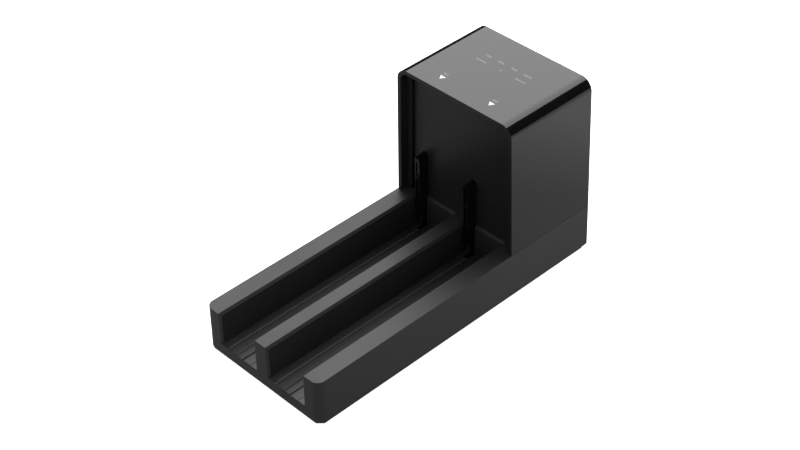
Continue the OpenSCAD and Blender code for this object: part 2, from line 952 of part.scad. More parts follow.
// Mouth of the data port: a square part with bevelled shoulders and a crown
module usb_mouth() {
    low = main_top + usb_mouth_rise;
    shoulder = (usb_mouth_w - usb_crown_w) / 2;
    translate([usb_x, 0])
        polygon([[-usb_mouth_w / 2, low], [usb_mouth_w / 2, low],
            [usb_mouth_w / 2, low + usb_mouth_h - shoulder], [usb_crown_w / 2, low + usb_mouth_h],
            [usb_crown_w / 2, low + usb_mouth_h + usb_crown_h],
            [-usb_crown_w / 2, low + usb_mouth_h + usb_crown_h],
            [-usb_crown_w / 2, low + usb_mouth_h], [-usb_mouth_w / 2, low + usb_mouth_h - shoulder]]);
}

function usb_tongue_z() = main_top + usb_mouth_rise + (usb_mouth_h - usb_tongue_h) / 2;

module usb_insert() {
    in = usb_wall + fit / 3;
    color("#10357a")
        union() {
            difference() {
                bar([usb_x - usb_w / 2 + in, port_y - usb_l + in, main_top + in],
                    [usb_w - 2 * in, usb_l - 2 * in, usb_h - 2 * in]);
                along_y(port_y - usb_deep, usb_deep + over)
                    usb_mouth();
            }
            bar([usb_x - usb_tongue_w / 2, port_y - usb_deep - over, usb_tongue_z()],
                [usb_tongue_w, usb_deep - usb_wall, usb_tongue_h]);
        }
}

module usb_contacts() {
    color("#c9a227")
        for (z = [usb_tongue_z() - contact_t, usb_tongue_z() + usb_tongue_h])
            for (i = [-1, 1])
                bar([usb_x + i * usb_contact_pitch - usb_contact_w / 2 - usb_contact_pitch / 4 * i,
                    port_y - usb_deep, z], [usb_contact_w, usb_deep - 3 * usb_wall, contact_t]);
}

module jack_body() {
    mid_z = main_top + jack_h / 2;
    color("#151515")
        difference() {
            bar([jack_x - jack_w / 2, port_y - jack_l, main_top], [jack_w, jack_l, jack_h]);
            rod_y(jack_x, port_y - jack_deep, mid_z, jack_r, jack_deep + over);
        }
}

module jack_pin() {
    mid_z = main_top + jack_h / 2;
    color("silver")
        rod_y(jack_x, port_y - jack_deep, mid_z, jack_pin_r, jack_pin_l);
}

module switch_housing() {
    w = rocker_w + 2 * rocker_gap;
    color("#181818")
        translate([switch_x, 0, 0])
            difference() {
                union() {
                    bar([-w / 2 - switch_wall, switch_face_y - switch_deep - switch_wall,
                        switch_z - switch_half - switch_wall],
                        [w + 2 * switch_wall, switch_deep + switch_wall - bezel_t / 2,
                        2 * switch_half + 2 * switch_wall]);
                    bar([-w / 2 - switch_wall - bezel_edge, switch_face_y - bezel_t,
                        switch_z - switch_half - switch_wall - bezel_edge],
                        [w + 2 * switch_wall + 2 * bezel_edge, bezel_t,
                        2 * (switch_half + switch_wall + bezel_edge)]);
                }
                bar([-w / 2, switch_face_y - switch_deep, switch_z - switch_half],
                    [w, switch_deep + over, 2 * switch_half]);
                translate([-w / 2 - pivot_l, pivot_y, switch_z])
                    rotate([0, 90, 0])
                        cylinder(r = pivot_r + run_gap, h = w + 2 * pivot_l);
            }
}

// Section of the rocker about its pivot: x is outward, y is up, both halves alike
module rocker_section() {
    lift = tan(rocker_swing / 2);
    face = pivot_in - rocker_dip + rocker_dip / 2;
    reach = rocker_r + over;
    intersection() {
        circle(rocker_r);
        polygon([[-rocker_back, -reach], [face + reach * lift, -reach], [face, 0],
            [face + reach * lift, reach], [-rocker_back, reach]]);
    }
}

module switch_rocker() {
    color("#0f0f0f")
        translate([switch_x, pivot_y, switch_z])
            rotate([-rocker_swing / 2, 0, 0]) {
                rotate([90, 0, 90])
                    translate([0, 0, -rocker_w / 2])
                        linear_extrude(rocker_w)
                            rocker_section();
                translate([-rocker_w / 2 - rocker_gap - pivot_l + run_gap, 0, 0])
                    rotate([0, 90, 0])
                        cylinder(r = pivot_r, h = rocker_w + 2 * (rocker_gap + pivot_l - run_gap));
            }
}

// Two flat terminals that run back and then down to the main board
module switch_terminals() {
    back = switch_face_y - switch_deep - switch_wall;
    color("#c9a227")
        for (i = [-1, 1])
            translate([switch_x + i * terminal_w - terminal_w / 2, 0, 0]) {
                bar([0, back - terminal_out, switch_z - switch_half / 2],
                    [terminal_w / 2, terminal_out, terminal_t]);
                bar([0, back - terminal_out, main_top],
                    [terminal_w / 2, terminal_t, switch_z - switch_half / 2 - main_top + terminal_t]);
            }
}

module button_cap() {
    outer_y = rear_panel_y + panel_t + button_out;
    flange_y = rear_panel_y - flange_gap - flange_t;
    dome = button_r / 6;
    color("#e6e6e6")
        translate([button_x, 0, button_z])
            rotate([-90, 0, 0])
                rotate_extrude()
                    polygon([[0, key_face_y + key_plunger_out + cap_skirt / 4],
                        [stem_r, key_face_y + key_plunger_out + cap_skirt / 4], [stem_r, flange_y],
                        [button_r + flange_out, flange_y], [button_r + flange_out, flange_y + flange_t],
                        [button_r, flange_y + flange_t], [button_r, outer_y - dome],
                        [button_r - dome, outer_y], [0, outer_y]]);
}

module key_switch() {
    color("#202020")
        difference() {
            bar([button_x - key_w / 2, key_face_y - key_l_y, main_top],
                [key_w, key_l_y, button_z - main_top + key_rise]);
            rod_y(button_x, key_face_y - key_plunger_out, button_z, key_plunger_r + run_gap,
                key_plunger_out + over);
        }
}

module key_plunger() {
    color("#b9b9b9")
        rod_y(button_x, key_face_y - key_plunger_out + button_travel + fit, button_z, key_plunger_r,
            2 * key_plunger_out - button_travel - fit);
}

module light_board() {
    color("#1d3a24")
        difference() {
            bar([-led_board_w / 2, led_board_y - led_board_l / 2, led_z],
                [led_board_w, led_board_l, led_board_t]);
            for (p = led_posts())
                post(p[0], p[1], led_z - over, small_screw_r + screw_gap, led_board_t + 2 * over);
        }
}

module light_board_screws() {
    color("silver")
        for (p = led_posts()) {
            post(p[0], p[1], led_z - small_head_h, small_head_r, small_head_h);
            post(p[0], p[1], led_z - small_head_h / 2, small_screw_r,
                small_head_h / 2 + led_board_t + led_drop / 2);
        }
}

// Places of the lights: a row of four, and a row of three in front of it
function led_places() = concat([for (i = [-1.5:1.5]) [i * led_pitch, led_board_y + led_row_gap / 2]],
    [for (i = [-1:1]) [i * led_pitch * 1.5, led_board_y - led_row_gap / 2]]);

module lights() {
    color("#d8e8d8")
        for (p = led_places())
            bar([p[0] - led_w / 2, p[1] - led_w / 2, led_z + led_board_t], [led_w, led_w, led_h]);
}

module light_guides() {
    color("#f2f2f2")
        for (p = led_places())
            post(p[0], p[1], led_z + led_board_t + led_h, guide_r, led_drop - led_h);
}

// The flat cable from the light board down to the main board
module ribbon_cable() {
    y0 = ribbon_y();
    low = main_top + socket_h / 2;
    high = led_z - socket_h / 2;
    color("#5a5f66")
        bar([ribbon_x - ribbon_w / 2, y0, low], [ribbon_w, ribbon_t, high - low]);
}

function ribbon_y() = led_board_y - led_board_l / 2 + socket_l / 2 - ribbon_t / 2;

// A socket on each board that holds one end of the flat cable
module ribbon_sockets() {
    color("#e8e4d8")
        for (z = [main_top, led_z - socket_h])
            difference() {
                bar([ribbon_x - socket_w / 2, ribbon_y() + ribbon_t / 2 - socket_l / 2, z],
                    [socket_w, socket_l, socket_h]);
                bar([ribbon_x - ribbon_w / 2 - fit, ribbon_y() - fit,
                    z == main_top ? z + socket_h / 2 : z - over],
                    [ribbon_w + 2 * fit, ribbon_t + 2 * fit, socket_h / 2 + over]);
            }
}

module rubber_feet() {
    lip = 0.5;
    color("#101010")
        for (p = foot_places())
            translate([p[0], p[1], 0])
                rotate_extrude()
                    polygon([[0, 0], [foot_r - lip, 0], [foot_r, lip], [foot_r, foot_h + foot_seat],
                        [0, foot_h + foot_seat]]);
}

module cover_screws() {
    color("silver")
        for (side = [-1, 1])
            for (y = cover_screw_y) {
                post(side * core_x, y, base_z, cover_head_r, cover_head_h);
                post(side * core_x, y, base_z + cover_head_h / 2, screw_r, cover_screw_l);
            }
}

module hood_screws() {
    seat_z = wall_z - hood_seat;
    color("silver")
        for (side = [-1, 1])
            for (y = boss_y) {
                post(side * boss_x, y, seat_z - screw_head_h, screw_head_r, screw_head_h);
                post(side * boss_x, y, seat_z - screw_head_h / 2, screw_r,
                    hood_screw_l + screw_head_h / 2);
            }
}

base_tray();
bottom_cover();
hood();
front_panel();
rear_panel();
receptacle(-1);  // left_receptacle
receptacle(1);  // right_receptacle
contacts(-1);  // left_contacts
contacts(1);  // right_contacts
plug_support(-1);  // left_support
plug_support(1);  // right_support
receptacle_board();
receptacle_board_screws();
main_board();
main_board_screws();
link_header();
link_socket();
bridge_chips();
memory_chip();
capacitors();
inductors();
crystal();
usb_shell();
usb_insert();
usb_contacts();
jack_body();
jack_pin();
switch_housing();
switch_terminals();
switch_rocker();
button_cap();
key_switch();
key_plunger();
light_board();
light_board_screws();
lights();
light_guides();
ribbon_cable();
ribbon_sockets();
rubber_feet();
cover_screws();
hood_screws();
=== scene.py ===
# %% [markdown]
# # A two-bay drive duplicator
#
# This lesson dresses a finished construction model: a long black tray that takes two bare drives on
# edge, and a tower at its rear that holds their sockets. The solids are already the right shape, so
# most of the work is light and finish. Black plastic has almost no colour of its own, and what the
# eye reads as its shape is the room that it reflects.
#
# The first cell loads the solids. All sizes are in metres: X is the width, the tray's open end is at
# -Y, and the object stands on Z = 0.

# %% Load the frame
import json
import math

import bpy
import numpy as np
from mathutils import Matrix, Vector


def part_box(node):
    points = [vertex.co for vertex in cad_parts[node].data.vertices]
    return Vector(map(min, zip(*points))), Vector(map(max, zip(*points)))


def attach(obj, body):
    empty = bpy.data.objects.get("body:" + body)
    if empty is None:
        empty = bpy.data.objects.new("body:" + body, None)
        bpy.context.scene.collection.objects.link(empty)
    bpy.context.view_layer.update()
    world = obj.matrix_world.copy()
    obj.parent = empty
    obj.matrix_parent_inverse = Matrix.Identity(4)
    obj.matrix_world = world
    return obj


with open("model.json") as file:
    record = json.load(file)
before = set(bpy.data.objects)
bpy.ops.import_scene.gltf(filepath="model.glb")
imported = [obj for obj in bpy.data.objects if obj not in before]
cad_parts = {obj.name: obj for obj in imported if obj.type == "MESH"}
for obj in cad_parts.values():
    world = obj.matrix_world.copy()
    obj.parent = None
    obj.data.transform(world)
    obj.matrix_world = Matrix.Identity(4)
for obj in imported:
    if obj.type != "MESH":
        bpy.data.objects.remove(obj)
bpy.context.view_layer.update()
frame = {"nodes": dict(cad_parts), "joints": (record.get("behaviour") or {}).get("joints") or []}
nodes = frame["nodes"]
MM = 0.001

# %% [markdown]
# ## The camera
#
# The photograph was taken with a long lens from the front right, well above the object. Its place
# was found from the straight edges of the body. A camera can be pointed with a Track To constraint,
# but three axes worked out from an azimuth, an elevation and a roll keep the numbers readable.

# %% Place the camera
CAMERA_PLACE = Vector((574.6, -537.7, 678.2)) * MM
CAMERA_AZIMUTH = math.radians(46.963)
CAMERA_ELEVATION = math.radians(38.532)
CAMERA_ROLL = math.radians(-1.72)
FOCAL_PIXELS = 1767.0
PICTURE_WIDTH = 800
SENSOR_MM = 36.0


def camera_axes(azimuth, elevation, roll):
    """Right, up and back axes. Back points from the scene to the camera, at an azimuth from -Y
    towards X and an elevation above the floor. Roll turns the other two about it."""
    level = math.cos(elevation)
    back = Vector((math.sin(azimuth) * level, -math.cos(azimuth) * level, math.sin(elevation)))
    right = Vector((0, 0, 1)).cross(back).normalized()
    up = back.cross(right)
    turned = right * math.cos(roll) + up * math.sin(roll)
    return turned, back.cross(turned), back


camera = bpy.data.objects.new("camera", bpy.data.cameras.new("camera"))
camera.data.sensor_width = SENSOR_MM
camera.data.lens = FOCAL_PIXELS * SENSOR_MM / PICTURE_WIDTH
camera.data.clip_start = 0.05
axes = camera_axes(CAMERA_AZIMUTH, CAMERA_ELEVATION, CAMERA_ROLL)
camera.matrix_world = Matrix.Translation(CAMERA_PLACE) @ Matrix(axes).transposed().to_4x4()
bpy.context.scene.collection.objects.link(camera)
bpy.context.scene.camera = camera
print("lens", round(camera.data.lens, 2), "mm")

# %% [markdown]
# ## Shader maths as expressions
#
# A finish is a small network of nodes. Wiring each node by hand hides the idea behind it, so one
# class stands for a node's output and lets Python's operators add the Math nodes. Another class
# holds the material, makes nodes and ends in a Principled shader.


# %% A socket that can be used in sums
class Wire:
    """One output of a shader node. A sum on it adds Math nodes and gives the Wire of the result."""

    def __init__(self, finish, socket):
        self.finish, self.socket = finish, socket

    def maths(self, operation, *values):
        return self.finish.node("ShaderNodeMath", {"operation": operation}, *values)

    def __add__(self, other):
        return self.maths("ADD", self, other)

    def __sub__(self, other):
        return self.maths("SUBTRACT", self, other)

    def __rsub__(self, other):
        return self.maths("SUBTRACT", other, self)

    def __mul__(self, other):
        return self.maths("MULTIPLY", self, other)

    __radd__ = __add__
    __rmul__ = __mul__

    def size(self):
        """The value without its sign."""
        return self.maths("ABSOLUTE", self)

    def most(self, other):
        """The greater of the two."""
        return self.maths("MAXIMUM", self, other)

    def ramp(self, low, high, start=0.0, end=1.0):
        """Goes from start to end as the value goes from low to high, and stays there outside."""
        return self.finish.node("ShaderNodeMapRange", {"clamp": True}, self, low, high, start, end)


# %% A material under construction
class Finish:
    """A material that ends in one Principled shader. Plain numbers stay on the shader's sockets."""

    def __init__(self, name, **settings):
        self.material = bpy.data.materials.new(name)
        self.material.use_nodes = True
        self.tree = self.material.node_tree
        self.tree.nodes.clear()
        output = self.tree.nodes.new("ShaderNodeOutputMaterial")
        self.shader = self.tree.nodes.new("ShaderNodeBsdfPrincipled")
        self.tree.links.new(self.shader.outputs[0], output.inputs[0])
        self.place = self.node("ShaderNodeTexCoord", {}, output="Object")
        self.set(**settings)

    def node(self, kind, settings, *inputs, output=0, **named):
        """Adds a node: its own settings first, then the values or links of its sockets."""
        made = self.tree.nodes.new(kind)
        for key, value in settings.items():
            setattr(made, key, value)
        for key, value in [*enumerate(inputs), *named.items()]:
            self.put(made.inputs[key.replace("_", " ") if isinstance(key, str) else key], value)
        return Wire(self, made.outputs[output])

    def put(self, socket, value):
        """Links a Wire to a socket, or sets a plain value on it."""
        if isinstance(value, Wire):
            self.tree.links.new(value.socket, socket)
        elif value is not None:
            socket.default_value = value

    def set(self, **sockets):
        """Fills sockets of the shader by name, with _ for a space."""
        for key, value in sockets.items():
            self.put(self.shader.inputs[key.replace("_", " ")], value)
        return self

    def axis(self, name):
        """The object's own X, Y or Z."""
        return self.node("ShaderNodeSeparateXYZ", {}, self.place, output=name)

    def noise(self, size, detail=2.0, roughness=0.5, place=None):
        """Soft random field from 0 to 1 whose blotches are about size metres across."""
        return self.node("ShaderNodeTexNoise", {}, output="Fac", Vector=place or self.place,
                         Scale=1.0 / size, Detail=detail, Roughness=roughness)

    def blend(self, factor, first, second):
        """Mixes two colours. The Mix node has its colours at inputs 6 and 7 and their mix at output 2."""
        made = self.tree.nodes.new("ShaderNodeMix")
        made.data_type = "RGBA"
        self.put(made.inputs[0], factor)
        self.put(made.inputs[6], first)
        self.put(made.inputs[7], second)
        return Wire(self, made.outputs[2])

    def relief(self, height, depth, edge=0.0):
        """Bump of depth metres, on a normal that is rounded over sharp edges within edge metres."""
        rounded = self.node("ShaderNodeBevel", {"samples": 6}, Radius=edge) if edge else None
        self.set(Normal=self.node("ShaderNodeBump", {}, Height=height, Distance=depth, Normal=rounded))
        return self


def grey(value):
    return (value, value, value, 1.0)


# %% [markdown]
# ## The black mouldings
#
# The tray comes from a mould with a fine spark texture, which scatters the light into a soft even
# grey. The hood's outside comes from a polished mould, so its top mirrors the soft panel above it.
# All the black plastics are nearly the same black, and gloss and grain tell them apart, so one
# function makes each of them from a few numbers. Real mouldings also have softened edges, a few
# tenths of a millimetre across, that catch a thin line of light. They could be modelled, but a Bevel
# node rounds the normal there at no cost in the mesh.


# %% Moulded plastic
DRIFT = 30 * MM


def moulded(name, colour, rough, grain, depth, edge=0.35 * MM, specular=0.5, zones=()):
    """Plastic with a fine spark grain, depth metres deep, and a slow drift in colour and gloss.
    Each zone is a mask with its own colour and roughness."""
    finish = Finish(name, Specular_IOR_Level=specular)
    spark = finish.noise(grain, detail=3.0)
    drift = finish.noise(DRIFT, detail=1.0)
    tint = finish.blend(drift, grey(colour * 0.92), grey(colour * 1.08))
    gloss = drift.ramp(0.3, 0.7, rough * 0.95, rough * 1.05)
    for mask, zone_colour, zone_rough in zones:
        zone = mask(finish)
        tint = finish.blend(zone, tint, grey(zone_colour))
        gloss = gloss + zone * (zone_rough - rough)
    finish.set(Base_Color=tint, Roughness=gloss)
    return finish.relief(spark, depth, edge).material


# %% [markdown]
# ## Lines along the bays' floors
#
# The edge of each floor's rail shows as a fine light line. It is a painted highlight: the colour
# there is much lighter. The small step beside the rail has a matt finish and a slightly darker
# colour, which is painted shade. Both are only a pixel or two wide in the photograph. They could be
# separate strips, but a mask on the object's own coordinates needs no mesh, and it stays put on the
# tray from every side.

# %% Where the tray has a painted highlight and painted shade
BAYS = (-19.95 * MM, 19.95 * MM)
# The rail's edge with the half width of its painted highlight, and the step with that of its painted
# shade
RAIL_EDGE, RAIL_HIGHLIGHT = -8.8 * MM, 0.13 * MM
FLOOR_STEP, STEP_SHADE = -1.35 * MM, 0.62 * MM
STRIPE_FADE = 0.08 * MM
FLOOR_Z, FLOOR_REACH, FLOOR_FADE = 8.5 * MM, 0.6 * MM, 0.1 * MM
FLOOR_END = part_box("base_tray")[1].y - 0.2 * MM


def along_bays(across, half):
    """A mask of one stripe on each bay's floor: 1 within half of the line that lies across metres
    from the bay's middle, and 0 off the floors."""
    def mask(finish):
        first, second = [
            (finish.axis("X") - (bay + across)).size().ramp(half, half + STRIPE_FADE, 1.0, 0.0)
            for bay in BAYS]
        off_floor = (finish.axis("Z") - FLOOR_Z).size()
        floors = off_floor.ramp(FLOOR_REACH, FLOOR_REACH + FLOOR_FADE, 1.0, 0.0)
        length = finish.axis("Y").size().ramp(FLOOR_END, FLOOR_END + FLOOR_FADE, 1.0, 0.0)
        return first.most(second) * floors * length
    return mask


print("painted_highlight lines at x =", [round((bay + RAIL_EDGE) / MM, 2) for bay in BAYS], "mm, matt_and_shaded ones at",
      [round((bay + FLOOR_STEP) / MM, 2) for bay in BAYS], "mm")

# %% [markdown]
# ## The hood's two glosses
#
# The hood is polished outside only: its inside and its front rim are nearly as matt as the panel
# that they frame. Two materials on one solid would need its faces sorted, and a solid of the frame
# is left alone. So a mask works out how deep a point lies under the hood's outer skin, from the same
# leaning sides, flat roof and round shoulders that the solid has.

# %% Where the hood isn't polished
HOOD_LOW, HOOD_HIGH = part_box("hood")
HOOD_LEAN = math.tan(math.radians(1.3))
HOOD_SKIN, SKIN_FADE = 1.2 * MM, 0.1 * MM
RIM_DEPTH, RIM_FADE = 0.1 * MM, 0.05 * MM
SHOULDER = 7.8 * MM
SHOULDER_Z = HOOD_HIGH.z - SHOULDER
SHOULDER_X = HOOD_HIGH.x - (SHOULDER_Z - HOOD_LOW.z) * HOOD_LEAN - SHOULDER


def unpolished(finish):
    """1 on the hood's inside and on its front rim. How far a point is outside the hood is the
    greatest of three distances: to a leaning side, to the roof, and to the plane that touches the
    round shoulder at 45 degrees. It is negative under the skin."""
    width, height = finish.axis("X").size(), finish.axis("Z")
    sides = width + height * HOOD_LEAN - (HOOD_HIGH.x + HOOD_LOW.z * HOOD_LEAN)
    shoulders = (width + height - (SHOULDER_X + SHOULDER_Z)) * math.sqrt(0.5) - SHOULDER
    outside = sides.most(height - HOOD_HIGH.z).most(shoulders)
    inside = outside.ramp(-HOOD_SKIN - SKIN_FADE, -HOOD_SKIN, 1.0, 0.0)
    rim = HOOD_LOW.y + RIM_DEPTH
    return inside.most(finish.axis("Y").ramp(rim, rim + RIM_FADE, 1.0, 0.0))


print("shoulder's middle at x, z =", round(SHOULDER_X / MM, 2), round(SHOULDER_Z / MM, 2), "mm")

# %% The plastics
tray_black = moulded("tray_black", 0.016, 0.44, 0.5 * MM, 0.004 * MM, edge=0.12 * MM, specular=0.6,
                     # painted highlight: the line at the rail's edge is a much lighter colour than the
                     # tray
                     zones=((along_bays(RAIL_EDGE, RAIL_HIGHLIGHT), 0.10, 0.5),
                            # painted shade: the line along the step is slightly darker than the tray, and
                            # matt
                            (along_bays(FLOOR_STEP, STEP_SHADE), 0.014, 0.8)))
hood_black = moulded("hood_black", 0.0038, 0.10, 0.9 * MM, 0.0003 * MM, edge=0.2 * MM,
                     zones=((unpolished, 0.010, 0.32),))
panel_black = moulded("panel_black", 0.010, 0.36, 0.5 * MM, 0.003 * MM)
cover_black = moulded("cover_black", 0.0060, 0.50, 0.6 * MM, 0.012 * MM)
socket_black = moulded("socket_black", 0.0030, 0.13, 0.4 * MM, 0.0005 * MM, edge=0.15 * MM)
switch_black = moulded("switch_black", 0.0060, 0.25, 0.6 * MM, 0.002 * MM, edge=0.2 * MM)
chip_black = moulded("chip_black", 0.015, 0.6, 0.2 * MM, 0.01 * MM, edge=0.1 * MM)
ivory_plastic = moulded("ivory_plastic", 0.62, 0.45, 0.4 * MM, 0.004 * MM, edge=0.1 * MM)
button_white = moulded("button_white", 0.60, 0.30, 0.8 * MM, 0.002 * MM, edge=0.2 * MM)
cable_grey = moulded("cable_grey", 0.22, 0.5, 0.5 * MM, 0.004 * MM, edge=0.05 * MM)
foot_rubber = moulded("foot_rubber", 0.010, 0.85, 0.3 * MM, 0.02 * MM)
print("materials so far:", len(bpy.data.materials))

# %% [markdown]
# ## Metals, boards and the last plastics
#
# The contacts are gold plated, the port's shell and the screws are plated steel, and the capacitors
# have aluminium cans. Drawing and stamping leave faint streaks, so a noise that a Mapping node
# stretches along Y varies the roughness and the relief. The boards are green lacquer over copper. An
# image of a board would be that of one real circuit, so the tracks are a Voronoi pattern instead,
# whose Manhattan distance gives straight runs and corners. The port's blue insert and the clear light
# guides are plain mouldings.


# %% Plated metal
def metal(name, colour, rough, streak):
    """Metal with faint streaks along Y, streak metres apart."""
    finish = Finish(name, Metallic=1.0, Base_Color=colour)
    lengths = finish.node("ShaderNodeMapping", {}, finish.place, Scale=(1.0, 0.08, 1.0))
    brush = finish.noise(streak, detail=3.0, place=lengths)
    finish.set(Roughness=brush.ramp(0.3, 0.7, rough * 0.8, rough * 1.2))
    return finish.relief(brush, 0.002 * MM, 0.1 * MM).material


# %% Lacquered board
TRACK_PITCH = 2.2 * MM


def lacquered(name):
    """Green lacquer over copper: the tracks show through as a slightly lighter green."""
    finish = Finish(name, Roughness=0.35)
    cells = finish.node("ShaderNodeTexVoronoi", {"distance": "MANHATTAN", "feature": "F1"},
                        output="Distance", Vector=finish.place, Scale=1.0 / TRACK_PITCH)
    tracks = cells.ramp(0.42, 0.46)
    finish.set(Base_Color=finish.blend(tracks, (0.008, 0.06, 0.025, 1), (0.02, 0.12, 0.05, 1)))
    return finish.relief(tracks, 0.02 * MM).material


# %% The metals, the boards and the last plastics
port_steel = metal("port_steel", grey(0.62), 0.28, 0.4 * MM)
screw_steel = metal("screw_steel", grey(0.55), 0.33, 0.3 * MM)
can_aluminium = metal("can_aluminium", grey(0.7), 0.35, 0.3 * MM)
contact_gold = metal("contact_gold", (0.83, 0.6, 0.24, 1), 0.12, 0.2 * MM)
board_green = lacquered("board_green")
insert_blue = Finish("insert_blue", Base_Color=(0.015, 0.09, 0.45, 1), Roughness=0.4)
insert_blue = insert_blue.relief(insert_blue.noise(0.4 * MM), 0.004 * MM, 0.1 * MM).material
guide_clear = Finish("guide_clear", Base_Color=grey(0.9), Roughness=0.15, Transmission_Weight=0.8)
guide_clear = guide_clear.relief(guide_clear.noise(0.5 * MM), 0.003 * MM).material
print("materials so far:", len(bpy.data.materials))

# %% [markdown]
# ## A finish for each node
#
# Each node of the frame is one kind of real piece: a shell, a board, or a set of like screws. Its
# mesh and place are fixed, and only the material in its slot is changed. The choice could stand
# beside each material, but one table is easier to check, and the cell's last line names any node
# that the table forgets.

# %% Give each node its finish
FINISHES = (
    (tray_black, "base_tray"),
    (hood_black, "hood"),
    (panel_black, "front_panel", "rear_panel"),
    (cover_black, "bottom_cover"),
    (socket_black, "left_receptacle", "right_receptacle", "left_support", "right_support",
     "link_header"),
    (switch_black, "switch_housing", "switch_rocker", "jack_body", "key_switch"),
    (chip_black, "bridge_chips", "memory_chip", "inductors"),
    (ivory_plastic, "link_socket", "ribbon_sockets", "key_plunger", "lights"),
    (button_white, "button_cap"),
    (cable_grey, "ribbon_cable"),
    (foot_rubber, "rubber_feet"),
    (port_steel, "usb_shell", "jack_pin", "crystal"),
    (screw_steel, "cover_screws", "hood_screws", "main_board_screws", "receptacle_board_screws",
     "light_board_screws"),
    (can_aluminium, "capacitors"),
    (contact_gold, "left_contacts", "right_contacts", "usb_contacts", "switch_terminals"),
    (board_green, "main_board", "receptacle_board", "light_board"),
    (insert_blue, "usb_insert"),
    (guide_clear, "light_guides"),
)
for material, *names in FINISHES:
    for name in names:
        nodes[name].data.materials.clear()
        nodes[name].data.materials.append(material)
plain = set(nodes) - {name for _, *names in FINISHES for name in names}
print("nodes without a finish:", sorted(plain))

# %% [markdown]
# ## Printed marks
#
# The hood's top has small pad-printed marks: an arrowhead and a number over each bay, a row of
# numbers that says how far a copy has come, and two rows of dashes. The power rocker has the marks
# for on and off. Ink could be painted in the hood's material, but a layer of ink has a thickness, so
# each mark is a thin closed solid that lies on the plastic. A flat mark is drawn first and then laid
# on its surface by one function of its points.


# %% Inks
def ink(name, colour):
    """Flat ink that is slightly uneven."""
    finish = Finish(name, Roughness=0.55)
    worn = finish.noise(0.6 * MM, detail=2.0)
    finish.set(Base_Color=finish.blend(worn, grey(colour * 0.93), grey(colour)))
    return finish.relief(worn, 0.003 * MM).material


INK_THICK = 0.03 * MM
ink_white = ink("ink_white", 0.65)
ink_grey = ink("ink_grey", 0.29)
ink_faint = ink("ink_faint", 0.21)

# %% Places that marks are laid on
rocker_joint = next(joint for joint in frame["joints"] if joint["name"] == "rocker_tilt")
ROCKER_PIVOT = np.array(rocker_joint["pos_m"])
ROCKER_REST = math.radians(rocker_joint["range_deg"][1] / 2)
ROCKER_FACE, ROCKER_SLANT = 1.25 * MM, 0.1228


def on_top(x, y):
    """Lays a mark on the hood's flat top with its middle at x and y."""
    return lambda points: points + (x, y, HOOD_HIGH.z)


def on_rocker(middle):
    """Lays a mark on the rocker's outer face with its middle that far above the pivot. An untilted
    rocker's face lies behind the pivot by FACE + SLANT times the height above or below it. The
    rocker then tilts about X."""
    def place(points):
        up = points[:, 1] + middle
        out = ROCKER_FACE + ROCKER_SLANT * np.abs(up) + points[:, 2]
        sine, cosine = math.sin(ROCKER_REST), math.cos(ROCKER_REST)
        tilted = [-points[:, 0], out * cosine + up * sine, up * cosine - out * sine]
        return ROCKER_PIVOT + np.column_stack(tilted)
    return place


print("hood's top at z =", round(HOOD_HIGH.z / MM, 2), "mm, rocker's pivot at", ROCKER_PIVOT / MM)


# %% Flat plates of ink
def settle(name, mesh, material, body="dock"):
    """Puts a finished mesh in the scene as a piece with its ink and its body."""
    mesh.materials.clear()
    mesh.materials.append(material)
    piece = bpy.data.objects.new(name, mesh)
    bpy.context.scene.collection.objects.link(piece)
    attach(piece, body)
    return piece


def plate(name, outline, place, material):
    """A closed plate on a convex outline given anticlockwise: the outline twice, the ink's thickness
    apart, joined by sides."""
    low = np.column_stack([np.asarray(outline, float), np.zeros(len(outline))])
    ring = np.arange(len(low))
    after = (ring + 1) % len(low)
    sides = np.column_stack([ring, after, after + len(low), ring + len(low)]).tolist()
    mesh = bpy.data.meshes.new(name)
    mesh.from_pydata(place(np.vstack([low, low + (0, 0, INK_THICK)])).tolist(), [],
                     [ring[::-1].tolist(), (ring + len(low)).tolist(), *sides])
    return settle(name, mesh, material)


# %% Arrowheads and dashes
ARROW_X = {"left": -18.6 * MM, "right": 19.7 * MM}
ARROW_Y, ARROW_WIDE, ARROW_LONG = 53.4 * MM, 4.2 * MM, 3.3 * MM
arrowhead = [(0, -ARROW_LONG), (ARROW_WIDE / 2, 0), (-ARROW_WIDE / 2, 0)]
for label, x in ARROW_X.items():
    plate(f"{label}_arrow", arrowhead, on_top(x, ARROW_Y), ink_white)

# Each row of dashes: its name, its middle, and how many dashes it has
STATUS_ROWS = (("left", -14.4 * MM, 6), ("middle", 0.7 * MM, 1), ("right", 15.8 * MM, 6))
STATUS_Y, DASH_STEP = 80.0 * MM, 1.3 * MM
DASH_WIDE, DASH_HIGH = 0.95 * MM, 1.1 * MM
dash = np.array([(-1, -1), (1, -1), (1, 1), (-1, 1)]) * (DASH_WIDE / 2, DASH_HIGH / 2)
for label, middle, count in STATUS_ROWS:
    for index in range(count):
        x = middle + (index - (count - 1) / 2) * DASH_STEP
        plate(f"{label}_status_dash_{index}", dash, on_top(x, STATUS_Y), ink_faint)
print("plates of ink:", len(ARROW_X) + sum(count for _, _, count in STATUS_ROWS))

# %% [markdown]
# ## Printed figures
#
# The numbers on the hood and the I and O of the rocker are plain figures. They could be drawn by
# hand as outlines, but Blender's own font has them, so each is a text curve with a little thickness.
# It is made a mesh before its place is applied, and it is stretched there, because the real figures
# are wide.

# %% A printed figure
FIGURE_SHARE = 0.7


